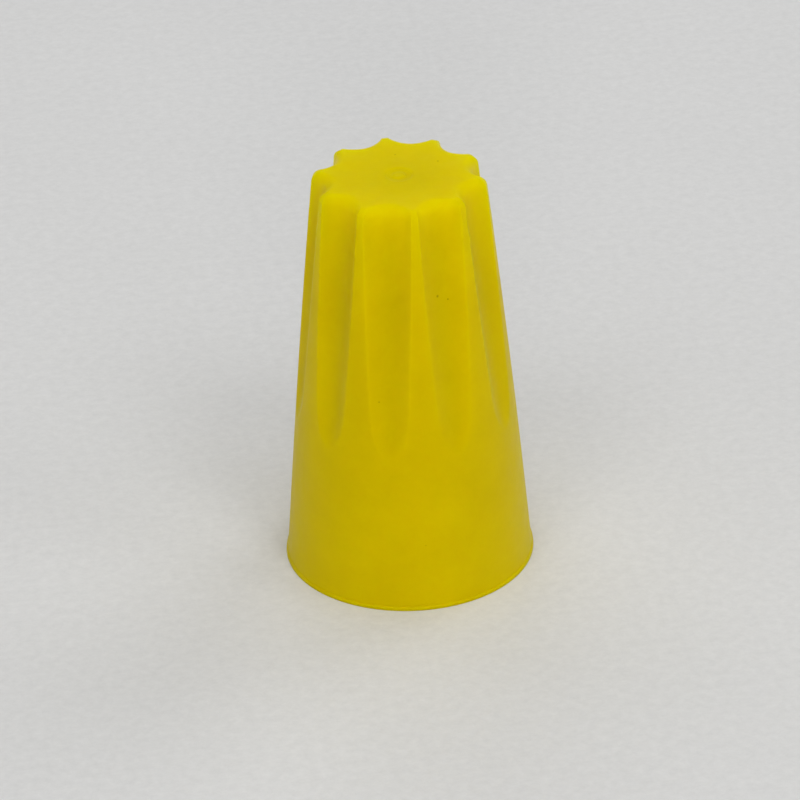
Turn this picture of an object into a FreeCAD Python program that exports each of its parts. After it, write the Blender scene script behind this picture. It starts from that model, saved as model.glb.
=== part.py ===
"""Twist-on wire connector, rated for a few small solid or stranded conductors.

It is two pieces.  The insulating shell is one plastic moulding: a tapered cup that stands on its
open rim, with a smooth skirt below and ten finger flutes above that run out through the closed end.
The grip spring is a tapered coil of square steel wire, pressed into the shell from below; its inner
corners make the thread that winds onto the stripped conductors.

The frame is in millimetres: the origin is the centre of the rim, +Z runs along the axis towards the
closed end, and the ridge between two flutes faces -Y.
"""
import FreeCAD, Part

import math
import os

import Sketcher
from FreeCAD import Placement, Rotation, Vector

DIMENSIONS = [
    # Outside of the shell
    ("cap_height", 25.4, "rim to closed end"),
    ("rim_radius", 7.5, "outside of the rim"),
    ("rim_edge", 0.2, "bevel round the outside of the rim"),
    ("lip_height", 2.2, "height of the slight flare above the rim"),
    ("lip_top_radius", 7.21, "outside radius where that flare ends"),
    ("side_arc_radius", 900.0, "long bow of the side, from the lip to the closed end"),
    ("top_radius", 5.11, "outside of the ridges at the closed end"),
    ("edge_round", 0.4, "round on the ridges and the closed end"),
    ("gate_radius", 0.75, "dimple of the moulding gate"),
    ("gate_depth", 0.2, "depth of that dimple"),
    ("nub_radius", 0.35, "stub of the gate inside the dimple"),
    ("nub_sink", 0.08, "how far the stub stays below the closed end"),
    # Flutes
    ("flute_count", 10, "finger flutes round the shell"),
    ("flute_radius", 1.6, "radius of the hollow of a flute"),
    ("flute_floor_top", 4.27, "axis to the flute's floor at the closed end"),
    ("flute_floor_low", 5.98, "axis to the flute's floor where its run-out starts"),
    ("flute_run_out", 12.4, "height where the run-out starts"),
    ("flute_exit", 7.0, "height where the cutter has left the shell"),
    ("flute_arc_radius", 14.0, "bend of the run-out"),
    ("over_cut", 1.0, "how far a cutter starts outside the shell"),
    # Inside of the shell
    ("mouth_radius", 6.2, "straight bore of the skirt"),
    ("mouth_depth", 3.5, "depth of that straight bore"),
    ("mouth_chamfer", 0.35, "lead-in at the rim"),
    ("skirt_top_radius", 5.5, "inside of the skirt where the funnel starts"),
    ("funnel_start", 8.2, "height of the foot of the funnel"),
    ("throat_radius", 4.55, "bead that keeps the spring in"),
    ("throat_low", 9.2, "foot of the bead"),
    ("throat_high", 9.5, "head of the bead"),
    ("seat_low", 9.85, "foot of the chamber round the coils"),
    ("seat_high", 10.9, "height where the chamber starts to taper"),
    ("seat_radius", 4.9, "chamber below that height"),
    ("chamber_top_radius", 3.05, "chamber where the socket starts"),
    ("socket_low", 21.7, "foot of the blind socket"),
    ("socket_radius", 2.85, "blind socket of the smallest coil"),
    ("blind_end", 23.2, "height of the inside of the closed end"),
    # Grip spring
    ("wire_side", 0.95, "side of the square wire"),
    ("coil_pitch", 1.45, "rise of one turn"),
    ("coil_low", 10.6, "height of the wire's centre at the open end"),
    ("coil_height", 11.8, "rise of the wire's centre from end to end"),
    ("coil_open_radius", 4.05, "axis to the wire's centre at the open end"),
    ("coil_closed_radius", 2.05, "axis to the wire's centre at the closed end"),
    # Ribs and stop that hold the spring
    ("rib_count", 8, "crush ribs along the chamber"),
    ("rib_low", 9.95, "foot of a rib"),
    ("rib_high", 14.5, "head of a rib"),
    ("rib_root", 5.2, "axis to the root of a rib, inside the wall"),
    ("rib_width", 0.4, "thickness of a rib"),
    ("rib_bite", 0.04, "how far a rib's crest bites into the coils"),
    ("stop_low", 22.0, "foot of the stop that the wire's end turns against"),
    ("stop_inner", 1.1, "axis to the inner end of the stop"),
    ("stop_width", 0.9, "thickness of the stop"),
    ("stop_offset", 0.35, "winding's last section plane to the stop; the wire's end reaches 0.30"),
    ("root_overlap", 0.15, "how far the stop reaches into the wall and the closed end"),
]

FLUTE_LEAN = (
    "atan((Dims.flute_floor_low - Dims.flute_floor_top)"
    " / (Dims.cap_height - Dims.flute_run_out))"
)
COIL_TAPER = "((Dims.coil_open_radius - Dims.coil_closed_radius) / Dims.coil_height)"

doc = FreeCAD.newDocument("wire_connector")
sheet = doc.addObject("Spreadsheet::Sheet", "Dims")
for row, (alias, value, meaning) in enumerate(DIMENSIONS, start=1):
    sheet.set(f"A{row}", alias)
    sheet.set(f"B{row}", str(value))
    sheet.setAlias(f"B{row}", alias)
    sheet.set(f"C{row}", meaning)
doc.recompute()

# ---------------------------------------------------------------- drawing helpers


def dim(alias):
    return getattr(sheet, alias)


def new_body(name):
    body = doc.addObject("PartDesign::Body", name)
    body.Label = name
    body.Placement = Placement()
    return body


def origin_feature(body, role):
    return next(f for f in body.Origin.OriginFeatures if f.Role == role)


def new_sketch(body, name, plane, offset=None):
    """A sketch on one of the body's planes.  offset maps Base.x, Rotation.Angle... to expressions."""
    sketch = body.newObject("Sketcher::SketchObject", name)
    sketch.AttachmentSupport = (origin_feature(body, plane), [""])
    sketch.MapMode = "FlatFace"
    for component, expression in (offset or {}).items():
        sketch.setExpression(f"AttachmentOffset.{component}", expression)
    doc.recompute()
    return sketch


def drive(sketch, kind, *arguments, expression):
    """A dimension of the sketch that follows the sheet."""
    value = float(sketch.evalExpression(expression))
    index = sketch.addConstraint(Sketcher.Constraint(kind, *arguments, value))
    sketch.setExpression(f"Constraints[{index}]", expression)


def pin_point(sketch, geometry, end, x, y):
    """Holds one end of a piece of geometry at a point; "0" puts it on an axis."""
    if x == "0":
        sketch.addConstraint(Sketcher.Constraint("PointOnObject", geometry, end, -2))
    else:
        drive(sketch, "DistanceX", -1, 1, geometry, end, expression=x)
    if y == "0":
        sketch.addConstraint(Sketcher.Constraint("PointOnObject", geometry, end, -1))
    else:
        drive(sketch, "DistanceY", -1, 1, geometry, end, expression=y)


def arc_ends(sketch, side, start):
    """(vertex at the side's start, vertex at its end): an arc may be stored the other way round."""
    if (sketch.getPoint(side, 1) - start).Length < 1e-6:
        return 1, 2
    return 2, 1


def bowed_arc(start, end, radius):
    """An arc from start to end that bows to the right of that direction."""
    chord = end - start
    rise = radius - math.sqrt(radius**2 - chord.Length**2 / 4)
    across = Vector(chord.y, -chord.x, 0).normalize()
    return Part.Arc(start, (start + end) / 2 + across * rise, end)


def draw_outline(sketch, corners, arcs=None):
    """A closed outline through the corners.  arcs maps a side's number to its radius."""
    arcs = arcs or {}
    points = [Vector(*(float(sketch.evalExpression(c)) for c in corner), 0) for corner in corners]
    following = points[1:] + points[:1]
    for side, (start, end) in enumerate(zip(points, following)):
        if side in arcs:
            radius = float(sketch.evalExpression(arcs[side]))
            sketch.addGeometry(bowed_arc(start, end, radius), False)
        else:
            sketch.addGeometry(Part.LineSegment(start, end), False)
    ends = [arc_ends(sketch, side, point) for side, point in enumerate(points)]
    for side, (_, last) in enumerate(ends):
        after = (side + 1) % len(points)
        joint = Sketcher.Constraint("Coincident", side, last, after, ends[after][0])
        sketch.addConstraint(joint)
    for side, corner in enumerate(corners):
        pin_point(sketch, side, ends[side][0], *corner)
    for side, radius in arcs.items():
        drive(sketch, "Radius", side, expression=radius)
    doc.recompute()


def turn_outline(body, name, feature, plane, corners, arcs=None):
    """Turns a half section about the Z axis, to add it or to cut it away."""
    sketch = new_sketch(body, f"{name}_section", plane)
    draw_outline(sketch, corners, arcs)
    turned = body.newObject(feature, name)
    turned.Profile = sketch
    turned.ReferenceAxis = (sketch, ["V_Axis"])
    turned.Angle = 360.0
    doc.recompute()
    return turned


def repeat_round(body, name, feature, count):
    pattern = body.newObject("PartDesign::PolarPattern", name)
    pattern.Originals = [feature]
    pattern.Axis = (origin_feature(body, "Z_Axis"), [""])
    pattern.Angle = 360.0
    pattern.setExpression("Occurrences", count)
    body.Tip = pattern
    doc.recompute()
    return pattern


# ---------------------------------------------------------------- insulating shell


def turn_cup(body):
    """The plain cup: tapered outside, and inside the skirt, funnel, bead, chamber and socket."""
    corners = [
        ("Dims.mouth_radius + Dims.mouth_chamfer", "0"),
        ("Dims.rim_radius - Dims.rim_edge", "0"),
        ("Dims.rim_radius", "Dims.rim_edge"),
        ("Dims.lip_top_radius", "Dims.lip_height"),
        ("Dims.top_radius", "Dims.cap_height"),
        ("0", "Dims.cap_height"),
        ("0", "Dims.blind_end"),
        ("Dims.socket_radius", "Dims.blind_end"),
        ("Dims.socket_radius", "Dims.socket_low"),
        ("Dims.chamber_top_radius", "Dims.socket_low"),
        ("Dims.seat_radius", "Dims.seat_high"),
        ("Dims.seat_radius", "Dims.seat_low"),
        ("Dims.throat_radius", "Dims.throat_high"),
        ("Dims.throat_radius", "Dims.throat_low"),
        ("Dims.skirt_top_radius", "Dims.funnel_start"),
        ("Dims.mouth_radius", "Dims.mouth_depth"),
        ("Dims.mouth_radius", "Dims.mouth_chamfer"),
    ]
    bowed_side = {3: "Dims.side_arc_radius"}
    turn_outline(body, "cup", "PartDesign::Revolution", "YZ_Plane", corners, bowed_side)


def run_out_arc(top, bend):
    """The arc that leaves the floor line at the bend and swings away from the axis."""
    along = (bend - top).normalize()
    outward = Vector(-along.y, along.x, 0)
    radius = dim("flute_arc_radius")
    centre = bend + outward * radius
    turn_start = math.asin(-outward.y)
    turn_end = math.asin((dim("flute_exit") - centre.y) / radius)
    turn_middle = (turn_start + turn_end) / 2
    middle, end = (
        centre + Vector(-math.cos(turn), math.sin(turn), 0) * radius
        for turn in (turn_middle, turn_end)
    )
    return Part.Arc(bend, middle, end)


def cut_flutes(body):
    """One flute is a round cutter that follows a leaning floor line, then runs out on an arc."""
    top = "Dims.cap_height + Dims.over_cut"
    beside_floor = f"Dims.flute_radius / cos({FLUTE_LEAN})"
    centre_top = f"Dims.flute_floor_top + {beside_floor} - Dims.over_cut * tan({FLUTE_LEAN})"
    centre_low = f"Dims.flute_floor_low + {beside_floor}"

    path = new_sketch(body, "flute_path", "XZ_Plane")
    start = Vector(path.evalExpression(centre_top), path.evalExpression(top), 0)
    bend = Vector(path.evalExpression(centre_low), dim("flute_run_out"), 0)
    path.addGeometry(Part.LineSegment(start, bend), False)
    path.addGeometry(run_out_arc(start, bend), False)
    pin_point(path, 0, 1, centre_top, top)
    pin_point(path, 0, 2, centre_low, "Dims.flute_run_out")
    near, far = arc_ends(path, 1, bend)
    path.addConstraint(Sketcher.Constraint("Tangent", 0, 2, 1, near))
    drive(path, "Radius", 1, expression="Dims.flute_arc_radius")
    drive(path, "DistanceY", -1, 1, 1, far, expression="Dims.flute_exit")

    section = new_sketch(body, "flute_section", "XY_Plane")
    section.AttachmentOffset = Placement(Vector(), Rotation(Vector(0, -1, 0), 1))
    section.setExpression("AttachmentOffset.Base.x", centre_top)
    section.setExpression("AttachmentOffset.Base.z", top)
    section.setExpression("AttachmentOffset.Rotation.Angle", FLUTE_LEAN)
    section.addGeometry(Part.Circle(Vector(), Vector(0, 0, 1), dim("flute_radius")), False)
    section.addConstraint(Sketcher.Constraint("Coincident", 0, 3, -1, 1))
    drive(section, "Radius", 0, expression="Dims.flute_radius")

    flute = body.newObject("PartDesign::SubtractivePipe", "flute")
    flute.Profile = section
    flute.Spine = path
    doc.recompute()
    return repeat_round(body, "flutes", flute, "Dims.flute_count")


def face_kind(face):
    """Tells the hollows of the flutes and the closed end from every other face."""
    surface = face.Surface
    hollow_radius = getattr(surface, "MinorRadius", getattr(surface, "Radius", 0))
    if abs(hollow_radius - dim("flute_radius")) < 1e-3:
        return "flute"
    if face.BoundBox.ZMin > dim("cap_height") - 1e-3:
        return "closed end"
    return "other"


def round_ridges(body, flutes):
    """Rounds the rim of every flute and the scalloped edge of the closed end."""
    shape = flutes.Shape
    kinds = [
        {face_kind(face) for face in shape.ancestorsOfType(edge, Part.Face)}
        for edge in shape.Edges
    ]
    names = [f"Edge{number}" for number, kind in enumerate(kinds, start=1) if len(kind) == 2]
    rounded = body.newObject("PartDesign::Fillet", "rounded_ridges")
    rounded.Base = (flutes, names)
    rounded.setExpression("Radius", "Dims.edge_round")
    doc.recompute()
    print("rounded edges:", len(names))


def cut_gate(body):
    """The dimple in the middle of the closed end, with the stub of the gate in it."""
    above = "Dims.cap_height + Dims.over_cut"
    floor = "Dims.cap_height - Dims.gate_depth"
    stub_top = "Dims.cap_height - Dims.nub_sink"
    corners = [
        ("0", above),
        ("0", stub_top),
        ("Dims.nub_radius", stub_top),
        ("Dims.nub_radius", floor),
        ("Dims.gate_radius", floor),
        ("Dims.gate_radius", above),
    ]
    turn_outline(body, "gate", "PartDesign::Groove", "YZ_Plane", corners)


def add_ribs(body):
    """Crush ribs down the chamber, with crests parallel to the coils' taper."""

    def crest(height):
        corner = "Dims.coil_open_radius + Dims.wire_side / sqrt(2)"
        return f"{corner} - {COIL_TAPER} * ({height} - Dims.coil_low) - Dims.rib_bite"

    section = new_sketch(body, "rib_section", "XZ_Plane")
    corners = [
        (crest("Dims.rib_low"), "Dims.rib_low"),
        ("Dims.rib_root", "Dims.rib_low"),
        ("Dims.rib_root", "Dims.rib_high"),
        (crest("Dims.rib_high"), "Dims.rib_high"),
    ]
    draw_outline(section, corners)
    rib = body.newObject("PartDesign::Pad", "rib")
    rib.Profile = section
    rib.SideType = "Symmetric"
    rib.setExpression("Length", "Dims.rib_width")
    doc.recompute()
    repeat_round(body, "ribs", rib, "Dims.rib_count")


def add_stop(body):
    """The stop at the blind end, just past the end of the wire in the winding direction."""
    offset = {
        "Base.z": "Dims.stop_low",
        "Rotation.Angle": "360 * Dims.coil_height / Dims.coil_pitch",
    }
    section = new_sketch(body, "stop_section", "XY_Plane", offset)
    near_side, far_side = "Dims.stop_offset", "Dims.stop_offset + Dims.stop_width"
    outer = "Dims.socket_radius + Dims.root_overlap"
    corners = [
        ("Dims.stop_inner", near_side),
        (outer, near_side),
        (outer, far_side),
        ("Dims.stop_inner", far_side),
    ]
    draw_outline(section, corners)
    stop = body.newObject("PartDesign::Pad", "stop")
    stop.Profile = section
    stop.setExpression("Length", "Dims.blind_end + Dims.root_overlap - Dims.stop_low")
    doc.recompute()


def make_shell():
    body = new_body("insulating_shell")
    turn_cup(body)
    round_ridges(body, cut_flutes(body))
    cut_gate(body)
    add_ribs(body)
    add_stop(body)
    return body


# ---------------------------------------------------------------- grip spring


def make_spring():
    """A tapered right-hand coil of square wire, wound with its corners in and out."""
    body = new_body("grip_spring")
    section = new_sketch(body, "wire_section", "XZ_Plane")
    half = "Dims.wire_side / sqrt(2)"
    radius, low = "Dims.coil_open_radius", "Dims.coil_low"
    corners = [
        (f"{radius} - {half}", low),
        (radius, f"{low} - {half}"),
        (f"{radius} + {half}", low),
        (radius, f"{low} + {half}"),
    ]
    draw_outline(section, corners)
    coil = body.newObject("PartDesign::AdditiveHelix", "coil")
    coil.Profile = section
    coil.ReferenceAxis = (section, ["V_Axis"])
    coil.Mode = "pitch-height-angle"
    coil.setExpression("Pitch", "Dims.coil_pitch")
    coil.setExpression("Height", "Dims.coil_height")
    coil.setExpression("Angle", f"-atan({COIL_TAPER})")
    coil.LeftHanded = False
    doc.recompute()
    return body


# ---------------------------------------------------------------- checks and files


def check_document():
    broken = [o.Name for o in doc.Objects if {"Invalid", "Error"} & set(o.State)]
    if broken:
        raise RuntimeError(f"objects that failed: {broken}")


def check_shape(body):
    shape = body.Shape
    if shape.isNull() or not shape.isValid() or len(shape.Solids) != 1:
        raise RuntimeError(f"{body.Label} isn't one valid solid")
    print(f"{body.Label}: {shape.Volume:.2f} mm3, {len(shape.Faces)} faces")


def write_parts(bodies):
    os.makedirs("parts", exist_ok=True)
    for body in bodies:
        body.Shape.exportStep(f"parts/{body.Label}.step")


pieces = [make_shell(), make_spring()]
doc.recompute()
check_document()
for piece in pieces:
    check_shape(piece)
write_parts(pieces)
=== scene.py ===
"""A yellow twist-on wire connector standing on its rim: fluted plastic cap and grip spring."""

import math

import bpy
import numpy as np
from mathutils import Matrix, Vector


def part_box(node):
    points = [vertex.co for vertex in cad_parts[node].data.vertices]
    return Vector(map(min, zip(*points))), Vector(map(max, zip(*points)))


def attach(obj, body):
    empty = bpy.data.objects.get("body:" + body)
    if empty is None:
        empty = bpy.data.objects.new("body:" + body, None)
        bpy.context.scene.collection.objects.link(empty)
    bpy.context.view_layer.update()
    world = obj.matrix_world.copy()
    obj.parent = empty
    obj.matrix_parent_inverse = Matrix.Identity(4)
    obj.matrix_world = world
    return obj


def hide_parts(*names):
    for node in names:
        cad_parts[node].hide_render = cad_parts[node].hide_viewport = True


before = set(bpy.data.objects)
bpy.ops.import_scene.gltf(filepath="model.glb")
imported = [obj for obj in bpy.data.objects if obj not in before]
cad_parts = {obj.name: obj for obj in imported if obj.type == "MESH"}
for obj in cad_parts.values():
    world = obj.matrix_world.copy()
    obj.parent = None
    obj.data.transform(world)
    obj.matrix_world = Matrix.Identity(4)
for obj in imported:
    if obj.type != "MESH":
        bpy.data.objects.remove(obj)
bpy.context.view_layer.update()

MM = 0.001
SHELL_LOW, SHELL_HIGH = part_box("insulating_shell")
HEIGHT = (SHELL_HIGH.z - SHELL_LOW.z) / MM
RIM = SHELL_HIGH.x / MM

# ---------------------------------------------------------------- the shell's shape, in millimetres

FLUTES = 10
COLUMNS_PER_FLUTE = 48
COLUMNS = FLUTES * COLUMNS_PER_FLUTE

TOP_RADIUS = 5.11            # outside of the ridges at the closed end
FOOT_RADIUS = 7.39           # where the side would meet the floor without its flare
FLARE_HEIGHT = 1.5           # below this the side flares out to the lip
LIP_HEIGHT = 0.3             # a fine lip runs round the rim
LIP_STEP = 0.06              # how far the lip stands out
LIP_FALL = 0.1               # height over which the lip steps back to the side
LIP_SUPPORT = 0.03           # a loop this far above the lip keeps its step crisp
SIDE_BOW = 0.075             # how far the side bows out halfway up
CROWN_ROUND = 0.58           # round where the side turns into the closed end
RIDGE_ROUND = 0.9            # how softly a flute's wall turns into the ridge, as a share of its depth
LEAST_DEPTH = 0.02           # least depth used for that, where a flute runs out
FLUTE_RADIUS = 1.6
FLUTE_FLOOR_TOP = 4.27       # axis to the floor of a flute at the closed end
FLUTE_FLOOR_LOW = 5.98       # the same where its run-out starts
RUN_OUT_HEIGHT = 12.4
RUN_OUT_RADIUS = 14.0

GATE_RADIUS = 0.75           # dimple in the middle of the closed end
GATE_DEPTH = 0.07
NUB_RADIUS = 0.35            # stub of the gate in that dimple
NUB_SINK = 0.025
CROWN_SINK = 0.03            # how far the closed end dips between its edge and its middle
CROWN_LOOPS = 16
SIDE_LOOPS = 160

RIM_ROUND = 0.03
FOOT_MIDDLE = 6.95           # a loop on the flat foot of the rim
MOUTH_RADIUS = 6.2
MOUTH_DEPTH = 3.5            # depth of the mouth's straight bore
MOUTH_CHAMFER = 0.35
SKIRT_TOP_RADIUS = 5.5
FUNNEL_START = 8.2
THROAT_RADIUS = 4.55         # the bead that keeps the spring in
THROAT_LOW, THROAT_HIGH = 9.2, 9.5
SEAT_LOW, SEAT_HIGH = 9.85, 10.9
SEAT_RADIUS = 4.9
CHAMBER_TOP_RADIUS = 3.05
SOCKET_LOW = 21.7
SOCKET_RADIUS = 2.85
BLIND_END = 23.2
BLIND_BEVEL = 0.04           # on the edges of the blind end and its stop

RIBS = 8
RIB_HALF_ANGLE = math.radians(2.0)
RIB_LOW, RIB_HIGH = 9.95, 14.5
RIB_CREST = 4.68             # axis to a rib's crest beside the first coil
RIB_FOOT = 0.1               # height over which a rib grows out of the wall
STOP_MIDDLE = math.radians(73.0)
STOP_HALF_ANGLE = math.radians(13.0)
STOP_INNER = 1.1
STOP_LOW = 22.0
STOP_SUPPORT = 0.05          # a loop this far below the stop keeps its edge crisp
WALL_FALL = math.radians(0.8)  # turn over which a rib's or the stop's side falls away

# ---------------------------------------------------------------- the spring's shape, in millimetres

WIRE_SIDE = 0.95
WIRE_CORNER = 0.1
COIL_TURNS = 8.16            # the wire's upper end lies just before the stop
COIL_LOW = 10.6
COIL_HEIGHT = 11.8
COIL_OPEN_RADIUS = 4.05
COIL_CLOSED_RADIUS = 2.05
STEPS_PER_TURN = 96
SHEARED_LENGTH = 0.0004      # share of the wire's length over which its cut end is rounded
SHEARED_WIDTH = 0.88         # width of the cut end as a share of the wire's

ANGLES = np.arange(COLUMNS) * 2 * math.pi / COLUMNS

# ---------------------------------------------------------------- colours, painted light and shade, scatter and specks

WHITE = (1.0, 1.0, 1.0)
YELLOW_LOW, YELLOW_HIGH = (0.70, 0.538, 0.0), (0.763, 0.595, 0.0)
HOLLOW_TOP = 18.0            # above this the plastic turns from a thin wall into the solid end
RIDGE_CONE, FLUTE_CONE = 7.3, 6.7  # foot radii of a cone under the ridges and one over the flutes
THIN_WALL_PAINTED_SHADE = (0.89, 0.87, 1.0)  # painted shade: the thin wall and the ridges made darker, where light is lost into the hollow
SOLID_END_PAINTED_LIGHT = (0.975, 0.975, 1.0)  # painted light: the closed end and the upper ends of the flutes kept lighter than the wall
THIN_SCATTER = 1.8           # how far light wanders in the thin wall, in millimetres
THICK_SCATTER = 6.0          # the same in the solid end
RIM_ZONE = 1.2               # below this the scatter shrinks towards the rim
RIM_SCATTER = 0.3            # share of the thin wall's scatter at the rim
SPECK_TINT = (0.6, 0.55, 0.4)
SPECKS = [  # azimuth in degrees, height and radius in millimetres
    (14.5, 19.75, 0.08),
    (21.8, 19.4, 0.05),
    (-24.2, 13.45, 0.045),
    (-1.5, 4.25, 0.03),
    (115.0, 8.0, 0.08),
    (200.0, 14.0, 0.07),
    (262.0, 5.5, 0.09),
]
END_SPECKS = [  # the same on the closed end, with the distance from the axis for the height
    (175.0, 2.5, 0.045),
    (114.0, 2.75, 0.055),
]
STEEL_LOW, STEEL_HIGH = (0.46, 0.46, 0.45), (0.63, 0.63, 0.61)
TABLE_LOW, TABLE_HIGH = (0.76, 0.76, 0.755), (0.80, 0.80, 0.795)
FIBRE_TINT = (0.89, 0.89, 0.89)

# ---------------------------------------------------------------- stage, in degrees and millimetres

CAMERA_AZIMUTH, CAMERA_ELEVATION, CAMERA_ROLL = -9.1, 30.2, -1.76
CAMERA_DISTANCE = 300.8
CAMERA_LENS = 226.8
AIM_HEIGHT = 10.18
AIM_SHIFT = 0.335            # how far to the left of the axis the camera aims
AMBIENT = 0.285              # strength of the white surroundings
FLOOR_HALF = 1500.0


# ---------------------------------------------------------------- mesh helpers


def new_piece(name, vertices, faces):
    """An object from vertices in metres."""
    mesh = bpy.data.meshes.new(name)
    mesh.from_pydata([tuple(v) for v in vertices], [], faces)
    mesh.validate()
    mesh.update()
    piece = bpy.data.objects.new(name, mesh)
    bpy.context.scene.collection.objects.link(piece)
    return piece


def shade(piece, sharp_degrees):
    """Smooth shading, except across edges sharper than the angle."""
    for polygon in piece.data.polygons:
        polygon.use_smooth = True
    piece.data.set_sharp_from_angle(angle=math.radians(sharp_degrees))


def ring(radius, height):
    """One loop of the shell.  radius and height may change from column to column."""
    radius = np.broadcast_to(radius, COLUMNS)
    height = np.broadcast_to(height, COLUMNS)
    return np.column_stack([radius * np.cos(ANGLES), radius * np.sin(ANGLES), height])


def closed_skin(name, rings, first_height, last_height):
    """Joins the rings, in millimetres, into one surface closed by a point on the axis at each end."""
    vertices = np.vstack([[(0, 0, first_height)], *rings, [(0, 0, last_height)]]) * MM
    following = np.roll(np.arange(COLUMNS), -1)
    faces = []
    for row in range(len(rings) - 1):
        here, below = 1 + row * COLUMNS, 1 + (row + 1) * COLUMNS
        for column, after in enumerate(following):
            faces.append((here + column, below + column, below + after, here + after))
    last_ring = 1 + (len(rings) - 1) * COLUMNS
    last_point = len(vertices) - 1
    for column, after in enumerate(following):
        faces.append((0, 1 + column, 1 + after))
        faces.append((last_point, last_ring + after, last_ring + column))
    return new_piece(name, vertices, faces)


def quarter(steps):
    """Angles from 0 to 90 degrees, both included."""
    return np.linspace(0, math.pi / 2, steps + 1)


def rounded_path(corners, steps=4):
    """(radius, height) points through the corners (radius, height, round), each corner rounded."""
    path = [corners[0][:2]]
    for before, corner, after in zip(corners, corners[1:], corners[2:]):
        start, middle, end = (Vector(c[:2]) for c in (before, corner, after))
        reach = corner[2]
        first = middle + (start - middle).normalized() * reach
        last = middle + (end - middle).normalized() * reach
        for step in range(steps + 1):
            t = step / steps
            point = first * (1 - t) ** 2 + middle * 2 * t * (1 - t) + last * t**2
            path.append(tuple(point))
    path.append(corners[-1][:2])
    return path


# ---------------------------------------------------------------- insulating shell


def side_radius(height):
    """The outside without its flutes: a slightly bowed cone that flares out above the rim."""
    along = height / HEIGHT
    cone = FOOT_RADIUS + (TOP_RADIUS - FOOT_RADIUS) * along
    bow = 4 * SIDE_BOW * along * (1 - along)
    flare = (RIM - LIP_STEP - FOOT_RADIUS) * max(0.0, 1 - height / FLARE_HEIGHT) ** 2
    lip = LIP_STEP * min(1.0, max(0.0, (LIP_HEIGHT - height) / LIP_FALL))
    return cone + bow + flare + lip


def flute_floor(height):
    """Axis to the floor of a flute: a leaning line, then an arc that leaves the side."""
    lean = (FLUTE_FLOOR_LOW - FLUTE_FLOOR_TOP) / (HEIGHT - RUN_OUT_HEIGHT)
    if height >= RUN_OUT_HEIGHT:
        return FLUTE_FLOOR_LOW - lean * (height - RUN_OUT_HEIGHT)
    turn = math.atan(lean)
    drop = RUN_OUT_HEIGHT - height + RUN_OUT_RADIUS * math.sin(turn)
    centre = FLUTE_FLOOR_LOW + RUN_OUT_RADIUS * math.cos(turn)
    return centre - math.sqrt(max(RUN_OUT_RADIUS**2 - drop**2, 0.0))


def outline(height):
    """Outside radius of every column at one height."""
    from_flute = (ANGLES + math.pi / FLUTES) % (2 * math.pi / FLUTES) - math.pi / FLUTES
    middle = flute_floor(height) + FLUTE_RADIUS
    reach = FLUTE_RADIUS**2 - (middle * np.sin(from_flute)) ** 2
    hollow = middle * np.cos(from_flute) - np.sqrt(np.maximum(reach, 0.0))
    side = side_radius(height)
    softness = RIDGE_ROUND * max(side - flute_floor(height), LEAST_DEPTH)
    overlap = np.maximum(softness - np.abs(hollow - side), 0.0)
    return np.minimum(hollow, side) - overlap**2 / (4 * softness)


def crown_rings():
    """The closed end: gate dimple, flat with a slight dip, then the round into the side."""
    dimple = [  # radius, and height above the flat: the stub, the dimple's floor, its soft edge
        (0.15, -NUB_SINK),
        (NUB_RADIUS - 0.04, -NUB_SINK),
        (NUB_RADIUS, -NUB_SINK - 0.03),
        (NUB_RADIUS + 0.01, -GATE_DEPTH + 0.03),
        (NUB_RADIUS + 0.05, -GATE_DEPTH),
        (GATE_RADIUS - 0.12, -GATE_DEPTH),
        (GATE_RADIUS - 0.03, -GATE_DEPTH + 0.04),
        (GATE_RADIUS, -0.04),
        (GATE_RADIUS + 0.06, 0.0),
        (GATE_RADIUS + 0.25, 0.0),
    ]
    rings = [ring(radius, HEIGHT + rise - CROWN_SINK) for radius, rise in dimple]
    flat_start = dimple[-1][0]
    edge = outline(HEIGHT) - CROWN_ROUND
    for share in np.linspace(0, 1, CROWN_LOOPS + 1)[1:-1]:
        dip = CROWN_SINK * (1 - share**3)
        rings.append(ring(flat_start + (edge - flat_start) * share, HEIGHT - dip))
    for turn in quarter(8)[::-1]:
        height = HEIGHT - CROWN_ROUND * (1 - math.sin(turn))
        rings.append(ring(outline(height) - CROWN_ROUND * (1 - math.cos(turn)), height))
    return rings


def side_rings():
    """Down the fluted side, then over the fine lip."""
    flanks = np.linspace(HEIGHT - CROWN_ROUND, LIP_HEIGHT + LIP_SUPPORT, SIDE_LOOPS)[1:]
    step = np.linspace(LIP_HEIGHT, LIP_HEIGHT - LIP_FALL, 5)
    lip = np.linspace(step[-1], RIM_ROUND, 5)[1:-1]
    return [ring(outline(height), height) for height in (*flanks, *step, *lip)]


def rim_rings():
    """The small round at the outside corner of the rim."""
    outer = side_radius(RIM_ROUND)
    rings = []
    for turn in quarter(5):
        radius = outer - RIM_ROUND * (1 - math.cos(turn))
        rings.append(ring(radius, RIM_ROUND * (1 - math.sin(turn))))
    return rings


def chamber_radius(height):
    """The wall round the spring: a short straight seat, then a cone."""
    share = max(0.0, (height - SEAT_HIGH) / (SOCKET_LOW - SEAT_HIGH))
    return SEAT_RADIUS + (CHAMBER_TOP_RADIUS - SEAT_RADIUS) * share


def plateau(angle, half_width):
    """1 for the columns within half_width of angle 0, falling to 0 just outside."""
    return np.clip((half_width + WALL_FALL - np.abs(angle)) / WALL_FALL, 0.0, 1.0)


def ribbed_ring(height):
    """The chamber's wall with its crush ribs, whose crests lean like the coils."""
    spacing = 2 * math.pi / RIBS
    from_rib = (ANGLES + spacing / 2) % spacing - spacing / 2
    wall = chamber_radius(height)
    lean = (COIL_OPEN_RADIUS - COIL_CLOSED_RADIUS) / COIL_HEIGHT
    crest = RIB_CREST - lean * (height - COIL_LOW)
    return ring(wall - (wall - crest) * plateau(from_rib, RIB_HALF_ANGLE), height)


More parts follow.
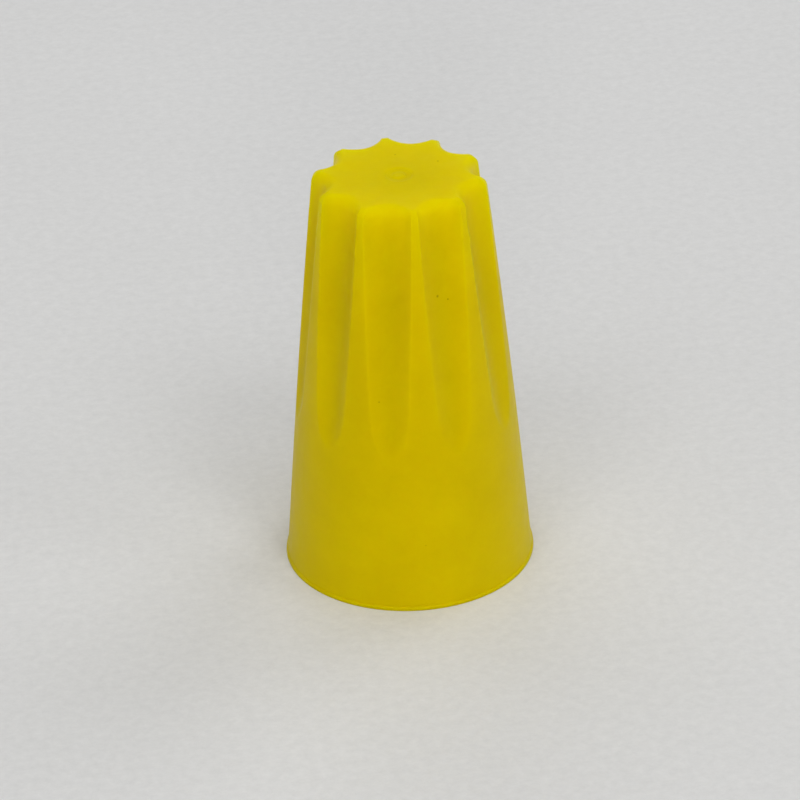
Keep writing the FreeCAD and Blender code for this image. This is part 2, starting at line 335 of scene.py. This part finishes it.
def skirt_rings():
    """From the foot of the rim up the skirt and over the bead to the seat of the spring."""
    corners = [
        (FOOT_MIDDLE, 0.0, 0.0),
        (MOUTH_RADIUS + MOUTH_CHAMFER, 0.0, 0.12),
        (MOUTH_RADIUS, MOUTH_CHAMFER, 0.12),
        (MOUTH_RADIUS, MOUTH_DEPTH, 0.4),
        (SKIRT_TOP_RADIUS, FUNNEL_START, 0.25),
        (THROAT_RADIUS, THROAT_LOW, 0.1),
        (THROAT_RADIUS, THROAT_HIGH, 0.1),
        (SEAT_RADIUS, SEAT_LOW, 0.08),
        (SEAT_RADIUS, RIB_LOW, 0.0),
    ]
    return [ring(radius, height) for radius, height in rounded_path(corners)]


def chamber_rings():
    """Up the ribs and the bare cone to the socket for the wire's end."""
    heights = np.linspace(RIB_LOW + RIB_FOOT, RIB_HIGH - RIB_FOOT, 8)
    ribs = [ribbed_ring(height) for height in heights]
    corners = [
        (chamber_radius(RIB_HIGH), RIB_HIGH, 0.0),
        (CHAMBER_TOP_RADIUS, SOCKET_LOW, 0.1),
        (SOCKET_RADIUS, SOCKET_LOW, 0.08),
        (SOCKET_RADIUS, STOP_LOW - STOP_SUPPORT, 0.0),
    ]
    return ribs + [ring(radius, height) for radius, height in rounded_path(corners)]


def blind_end_rings():
    """The flat end of the socket, with the stop that the wire's end turns against."""
    stop = plateau(ANGLES - STOP_MIDDLE, STOP_HALF_ANGLE)
    ceiling = BLIND_END - (BLIND_END - STOP_LOW) * stop
    bevel = BLIND_BEVEL
    rings = [ring(SOCKET_RADIUS, ceiling - bevel), ring(SOCKET_RADIUS - bevel, ceiling)]
    for radius in (2.4, 1.8, STOP_INNER + bevel):
        rings.append(ring(radius, ceiling))
    rings.append(ring(STOP_INNER, np.minimum(ceiling + bevel, BLIND_END)))
    rings.append(ring(STOP_INNER - 0.01, BLIND_END))
    return rings


def make_shell():
    """The cap, as one skin from the stub of the gate, down the outside and up the inside."""
    outside = crown_rings() + side_rings() + rim_rings()
    inside = skirt_rings() + chamber_rings() + blind_end_rings()
    shell = closed_skin("cap_shell", outside + inside, HEIGHT - NUB_SINK - CROWN_SINK, BLIND_END)
    shade(shell, 50)
    return shell


# ---------------------------------------------------------------- grip spring


def wire_section():
    """The square wire's outline about its centre: a corner out, down, in and up, each rounded."""
    half = WIRE_SIDE / math.sqrt(2)
    corners = [Vector(c) * half for c in ((1, 0), (0, -1), (-1, 0), (0, 1))]
    section = []
    for index, corner in enumerate(corners):
        before = (corners[index - 1] - corner).normalized() * WIRE_CORNER
        after = (corners[(index + 1) % 4] - corner).normalized() * WIRE_CORNER
        section += [corner + before, corner + (before + after) * 0.3, corner + after]
    return section


def coil_section(along, shrink):
    """The section's points at a share of the way from the open end to the closed end."""
    angle = along * COIL_TURNS * 2 * math.pi
    radius = COIL_OPEN_RADIUS + (COIL_CLOSED_RADIUS - COIL_OPEN_RADIUS) * along
    height = COIL_LOW + COIL_HEIGHT * along
    points = []
    for out, up in wire_section():
        reach = radius + out * shrink
        points.append((reach * math.cos(angle), reach * math.sin(angle), height + up * shrink))
    return points


def make_spring():
    """The coil, with the edges of its two sheared ends rounded over."""
    even = np.linspace(0, 1, round(COIL_TURNS * STEPS_PER_TURN))
    places = [0, SHEARED_LENGTH, *even[1:-1], 1 - SHEARED_LENGTH, 1]
    vertices = []
    for place in places:
        vertices += coil_section(place, SHEARED_WIDTH if place in (0, 1) else 1.0)
    count = len(wire_section())
    last = len(vertices) - count
    faces = [tuple(range(count - 1, -1, -1)), tuple(range(last, last + count))]
    for start in range(0, last, count):
        for side in range(count):
            here, after = start + side, start + (side + 1) % count
            faces.append((here, after, after + count, here + count))
    spring = new_piece("coil_spring", np.array(vertices) * MM, faces)
    shade(spring, 30)
    return spring


# ---------------------------------------------------------------- materials


class Nodes:
    """A short way to write a node tree."""

    def __init__(self, name):
        self.material = bpy.data.materials.new(name)
        self.material.use_nodes = True
        self.tree = self.material.node_tree
        self.shader = self.tree.nodes["Principled BSDF"]
        self.place = self.add("ShaderNodeTexCoord").outputs["Object"]

    def add(self, kind):
        return self.tree.nodes.new(kind)

    def link(self, source, target):
        self.tree.links.new(source, target)

    def set(self, **values):
        """Constants on the shader's own sockets.  An underscore stands for a space."""
        for name, value in values.items():
            self.shader.inputs[name.replace("_", " ")].default_value = value

    def noise(self, scale, detail, roughness=0.5):
        """Cloudy noise.  scale is in clouds per metre."""
        node = self.add("ShaderNodeTexNoise")
        node.inputs["Scale"].default_value = scale
        node.inputs["Detail"].default_value = detail
        node.inputs["Roughness"].default_value = roughness
        self.link(self.place, node.inputs["Vector"])
        return node.outputs["Fac"]

    def spot(self, point, radius):
        """0 at a point given in metres, rising to 1 at twice the radius from it."""
        distance = self.add("ShaderNodeVectorMath")
        distance.operation = "DISTANCE"
        distance.inputs[1].default_value = point
        self.link(self.place, distance.inputs[0])
        share = self.add("ShaderNodeMath")
        share.operation = "DIVIDE"
        share.use_clamp = True
        share.inputs[1].default_value = 2 * radius
        self.link(distance.outputs["Value"], share.inputs[0])
        return share.outputs["Value"]

    def height(self):
        """Height above the floor, in metres."""
        apart = self.add("ShaderNodeSeparateXYZ")
        self.link(self.place, apart.inputs[0])
        return apart.outputs["Z"]

    def share(self, value, low, high):
        """0 at one value and 1 at the other, smooth between."""
        node = self.add("ShaderNodeMapRange")
        node.interpolation_type = "SMOOTHSTEP"
        node.inputs["From Min"].default_value = low
        node.inputs["From Max"].default_value = high
        self.link(value, node.inputs["Value"])
        return node.outputs["Result"]

    def cone_radius(self, slope):
        """The foot radius, in metres, of the cone with this slope that a point lies on."""
        flat = self.add("ShaderNodeVectorMath")
        flat.operation = "MULTIPLY"
        flat.inputs[1].default_value = (1.0, 1.0, 0.0)
        self.link(self.place, flat.inputs[0])
        radius = self.add("ShaderNodeVectorMath")
        radius.operation = "LENGTH"
        self.link(flat.outputs["Vector"], radius.inputs[0])
        total = self.add("ShaderNodeMath")
        total.operation = "MULTIPLY_ADD"
        total.inputs[1].default_value = slope
        self.link(self.height(), total.inputs[0])
        self.link(radius.outputs["Value"], total.inputs[2])
        return total.outputs["Value"]

    def ramp(self, source, stops):
        """stops are (place, colour or grey)."""
        node = self.add("ShaderNodeValToRGB")
        elements = node.color_ramp.elements
        for index, (place, colour) in enumerate(stops):
            element = elements[index] if index < 2 else elements.new(place)
            element.position = place
            grey = isinstance(colour, (int, float))
            element.color = (colour,) * 3 + (1,) if grey else (*colour, 1)
        self.link(source, node.inputs["Fac"])
        return node.outputs["Color"]

    def blend(self, kind, first, second):
        """Both colours mixed in full by MULTIPLY, ADD and the like."""
        node = self.add("ShaderNodeMix")
        node.data_type = "RGBA"
        node.blend_type = kind
        node.inputs["Factor"].default_value = 1.0
        self.link(first, node.inputs["A"])
        self.link(second, node.inputs["B"])
        return node.outputs["Result"]

    def bump(self, source, height, before=None):
        """A normal bumped by height, in metres, on top of another bump's normal."""
        node = self.add("ShaderNodeBump")
        node.inputs["Strength"].default_value = 1.0
        node.inputs["Distance"].default_value = height
        self.link(source, node.inputs["Height"])
        if before:
            self.link(before, node.inputs["Normal"])
        return node.outputs["Normal"]


def speck_point(azimuth, height):
    """A point on the outside, in metres.  Azimuth 0 is at -Y and 90 at +X, in degrees."""
    angle = math.radians(azimuth - 90) % (2 * math.pi)
    column = round(angle / (2 * math.pi) * COLUMNS) % COLUMNS
    radius = outline(height)[column]
    return Vector((radius * math.cos(angle), radius * math.sin(angle), height)) * MM


def end_point(azimuth, distance):
    """A point on the closed end, in metres, at about the level that it has halfway out."""
    angle = math.radians(azimuth - 90)
    height = HEIGHT - CROWN_SINK * 0.7
    return Vector((distance * math.cos(angle), distance * math.sin(angle), height)) * MM


def yellow_plastic():
    """Satin polypropylene: cloudy pigment, a few dark specks, painted shade on the thin wall and
    ridges, painted light on the solid end and its flute floors, a fine moulded grain.
    """
    nodes = Nodes("yellow_polypropylene")
    sockets = nodes.shader.inputs
    tone = nodes.ramp(nodes.noise(260.0, 9.0, 0.7), [(0.3, YELLOW_LOW), (0.7, YELLOW_HIGH)])
    specks = [(speck_point(azimuth, height), radius) for azimuth, height, radius in SPECKS]
    specks += [(end_point(azimuth, distance), radius) for azimuth, distance, radius in END_SPECKS]
    for point, radius in specks:
        spot = nodes.spot(point, radius * MM)
        speck = nodes.ramp(spot, [(0.2, SPECK_TINT), (0.7, WHITE)])
        tone = nodes.blend("MULTIPLY", tone, speck)
    slope = (FOOT_RADIUS - TOP_RADIUS) / HEIGHT
    solid = nodes.share(nodes.height(), HOLLOW_TOP * MM, HEIGHT * MM)
    # painted light and shade: the flute floors in the solid end are lightened, the thin wall and the
    # ridges darkened
    deep = nodes.share(nodes.cone_radius(slope), RIDGE_CONE * MM, FLUTE_CONE * MM)
    painted_light_mask = nodes.blend("MULTIPLY", solid, deep)
    tone = nodes.blend("MULTIPLY", tone, nodes.ramp(painted_light_mask, [(0.0, THIN_WALL_PAINTED_SHADE), (1.0, SOLID_END_PAINTED_LIGHT)]))
    nodes.link(tone, sockets["Base Color"])
    gloss = nodes.ramp(nodes.noise(900.0, 3.0), [(0.3, 0.36), (0.7, 0.46)])
    nodes.link(gloss, sockets["Roughness"])
    grain = nodes.bump(nodes.noise(9000.0, 2.0), 0.000012)
    sink = nodes.bump(nodes.noise(330.0, 2.0), 0.00006, grain)
    nodes.link(sink, sockets["Normal"])
    nodes.set(IOR=1.49, Specular_IOR_Level=0.06, Specular_Tint=(1.0, 0.85, 0.05, 1.0))
    scatter = nodes.ramp(solid, [(0.0, THIN_SCATTER * MM), (1.0, THICK_SCATTER * MM)])
    foot = nodes.share(nodes.height(), 0.0, RIM_ZONE * MM)
    fade = nodes.ramp(foot, [(0.0, RIM_SCATTER), (1.0, 1.0)])
    nodes.link(nodes.blend("MULTIPLY", scatter, fade), sockets["Subsurface Scale"])
    nodes.set(Subsurface_Weight=0.85, Subsurface_Radius=(1.0, 0.75, 0.05))
    return nodes.material


def plated_steel():
    """Dull zinc plating, mottled and finely pitted."""
    nodes = Nodes("plated_spring_steel")
    sockets = nodes.shader.inputs
    tone = nodes.ramp(nodes.noise(1500.0, 4.0), [(0.3, STEEL_LOW), (0.7, STEEL_HIGH)])
    nodes.link(tone, sockets["Base Color"])
    gloss = nodes.ramp(nodes.noise(4000.0, 3.0), [(0.3, 0.24), (0.7, 0.42)])
    nodes.link(gloss, sockets["Roughness"])
    nodes.link(nodes.bump(nodes.noise(6000.0, 3.0), 0.00001), sockets["Normal"])
    nodes.set(Metallic=1.0)
    return nodes.material


def pale_table():
    """Off-white board with faint cloudy scuffs and a fine fibre."""
    nodes = Nodes("pale_table")
    sockets = nodes.shader.inputs
    tone = nodes.ramp(nodes.noise(14.0, 5.0, 0.6), [(0.3, TABLE_LOW), (0.7, TABLE_HIGH)])
    fibre = nodes.ramp(nodes.noise(1500.0, 8.0, 0.75), [(0.3, FIBRE_TINT), (0.7, WHITE)])
    nodes.link(nodes.blend("MULTIPLY", tone, fibre), sockets["Base Color"])
    nodes.link(nodes.bump(nodes.noise(900.0, 3.0), 0.00004), sockets["Normal"])
    nodes.set(Roughness=0.55, Specular_IOR_Level=0.3)
    return nodes.material


# ---------------------------------------------------------------- stage


def make_floor():
    """A square table top that the connector stands in the middle of."""
    half = FLOOR_HALF * MM
    corners = [(-half, -half, 0), (half, -half, 0), (half, half, 0), (-half, half, 0)]
    floor = new_piece("table_top", [Vector(c) for c in corners], [(0, 1, 2, 3)])
    floor.data.materials.append(pale_table())


def soft_light(name, azimuth, elevation, power, size, glossy=True):
    """A round area light 1 m away that faces the connector, with its place in degrees."""
    turn, rise = math.radians(azimuth), math.radians(elevation)
    away = Vector((
        math.sin(turn) * math.cos(rise),
        -math.cos(turn) * math.cos(rise),
        math.sin(rise),
    ))
    data = bpy.data.lights.new(name, "AREA")
    data.shape = "DISK"
    data.size = size
    data.energy = power
    light = bpy.data.objects.new(name, data)
    light.location = Vector((0, 0, HEIGHT / 2 * MM)) + away
    light.rotation_mode = "QUATERNION"
    light.rotation_quaternion = away.to_track_quat("Z", "Y")
    light.visible_glossy = glossy
    bpy.context.scene.collection.objects.link(light)


def make_lights():
    """Soft light from the front and above, with weak fills behind.  Azimuth 0 is at -Y, 90 at +X."""
    world = bpy.data.worlds.new("studio")
    world.use_nodes = True
    background = world.node_tree.nodes["Background"]
    background.inputs["Color"].default_value = (1.0, 1.0, 1.0, 1.0)
    background.inputs["Strength"].default_value = AMBIENT
    bpy.context.scene.world = world
    soft_light("front_low", -9, 14, 2.5, 0.35)
    soft_light("left", -40, 50, 1.1, 0.35)
    soft_light("right", 22, 48, 1.6, 0.35)
    soft_light("right_side", 60, 35, 0.65, 0.35)
    soft_light("top", 0, 85, 1.3, 0.6)
    soft_light("fill_right_back", 125, 40, 1.5, 0.5, glossy=False)
    soft_light("fill_left_back", -150, 40, 0.75, 0.5, glossy=False)
    soft_light("fill_back", 180, 25, 1.2, 0.5, glossy=False)


def make_camera():
    """Looks down at about 30 degrees, from a little to the left of the front ridge."""
    azimuth, elevation = math.radians(CAMERA_AZIMUTH), math.radians(CAMERA_ELEVATION)
    across = Vector((math.cos(azimuth), math.sin(azimuth), 0))
    back = Vector((
        math.sin(azimuth) * math.cos(elevation),
        -math.cos(azimuth) * math.cos(elevation),
        math.sin(elevation),
    ))
    aim = Vector((0, 0, AIM_HEIGHT * MM)) - across * AIM_SHIFT * MM
    right = Matrix.Rotation(math.radians(CAMERA_ROLL), 3, back) @ across
    up = back.cross(right)
    data = bpy.data.cameras.new("camera")
    data.sensor_width = 36.0
    data.lens = CAMERA_LENS
    data.clip_start = 0.01
    camera = bpy.data.objects.new("camera", data)
    turn = Matrix((right, up, back)).transposed().to_4x4()
    camera.matrix_world = Matrix.Translation(aim + back * CAMERA_DISTANCE * MM) @ turn
    bpy.context.scene.collection.objects.link(camera)
    bpy.context.scene.camera = camera


def dress(piece, material, node):
    """Gives a piece its material, and has it stand for a CAD node."""
    piece.data.materials.append(material)
    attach(piece, "root")
    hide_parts(node)


make_camera()
dress(make_shell(), yellow_plastic(), "insulating_shell")
dress(make_spring(), plated_steel(), "grip_spring")
make_floor()
make_lights()
bpy.context.scene.view_settings.view_transform = "Standard"
